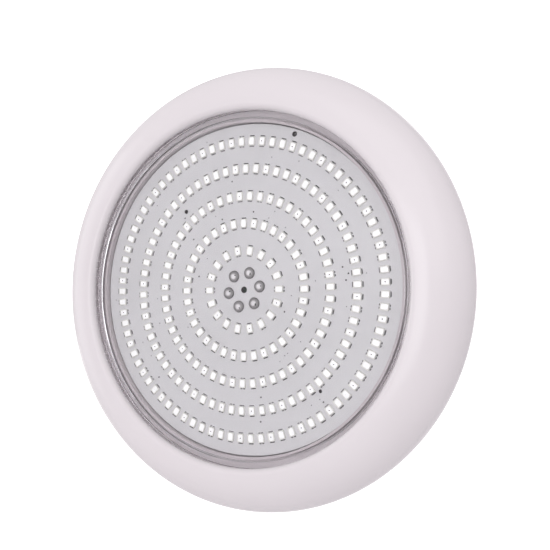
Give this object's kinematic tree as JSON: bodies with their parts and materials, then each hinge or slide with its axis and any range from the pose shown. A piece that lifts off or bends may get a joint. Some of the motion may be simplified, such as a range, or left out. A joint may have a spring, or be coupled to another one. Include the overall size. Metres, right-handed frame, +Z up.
{
  "type": "underwater pool light",
  "caption": "Round surface-mounted underwater pool light: LED rings behind a clear lens in a rounded white bezel, on a twist-lock wall plate with a rear cable gland.",
  "frame": {"origin": "centre of the wall plate's rear face, which rests on the wall", "axes": "the light faces -Y, +Z is up, +X is to the right as seen from the front"},
  "size_m": [0.178, 0.04, 0.178],
  "materials": {
    "bezel_gloss": "gloss",
    "housing_plastic": "satin",
    "plate_plastic": "satin",
    "black_plastic": "satin",
    "grey_rubber": "matte",
    "pale_rubber": "matte",
    "stainless": "brushed",
    "brass_posts": "satin",
    "green_board": "solder mask",
    "white_board": "solder mask",
    "chip_black": "matte",
    "capacitor_can": "satin",
    "ferrite": "matte",
    "copper_wire": "enamelled",
    "fuse_glass": "satin",
    "terminal_green": "satin",
    "wire_skin": "satin",
    "spreader_alloy": "brushed",
    "led_package": "satin",
    "solder": "satin",
    "clear_lens": "clear"
  },
  "bodies": {
    "wall_plate": {"wall_plate": "plate_plastic"},
    "lamp": {"housing": "housing_plastic", "gland_body": "black_plastic", "gland_washer": "grey_rubber", "gland_locknut": "black_plastic", "gland_seal": "grey_rubber", "driver_standoffs": "brass_posts", "driver_board": "green_board", "driver_screws": "stainless", "rectifiers": "chip_black", "capacitors": "capacitor_can", "inductor_cores": "ferrite", "inductor_coils": "copper_wire", "led_driver_chips": "chip_black", "controller_chip": "chip_black", "fuse": "fuse_glass", "terminal_block": "terminal_green", "lead_wires": "wire_skin", "heat_spreader": "spreader_alloy", "spreader_screws": "stainless", "thermal_pad": "grey_rubber", "led_board": "white_board", "leds_ring_1": "led_package", "leds_ring_2": "led_package", "leds_ring_3": "led_package", "leds_ring_4": "led_package", "leds_ring_5": "led_package", "solder_joints": "solder", "lens_gasket": "pale_rubber", "lens": "clear_lens", "lens_seal_bead": "pale_rubber"},
    "bezel": {"bezel_ring": "bezel_gloss"},
    "gland_slip": {"gland_slip_ring": "stainless"},
    "gland_nut": {"gland_nut": "black_plastic"}
  },
  "joints": [
    {"name": "lamp_twist", "type": "hinge", "parent": "wall_plate", "child": "lamp", "pos_m": [0, 0, 0], "axis": [0, -1, 0], "range_deg": [0, 34]},
    {"name": "bezel_pull", "type": "slide", "parent": "lamp", "child": "bezel", "axis": [0, -1, 0], "range_m": [0, 0.012]},
    {"name": "gland_nut_travel", "type": "slide", "parent": "lamp", "child": "gland_slip", "axis": [0, 1, 0], "range_m": [0, 0.003]},
    {"name": "gland_nut_turn", "type": "hinge", "parent": "gland_slip", "child": "gland_nut", "pos_m": [0, 0, 0], "axis": [0, 1, 0], "range_deg": [0, 720]}
  ],
  "couplings": [
    {"joint": "gland_nut_turn", "follows": "gland_nut_travel", "rad_per_m": 4188.8}
  ]
}
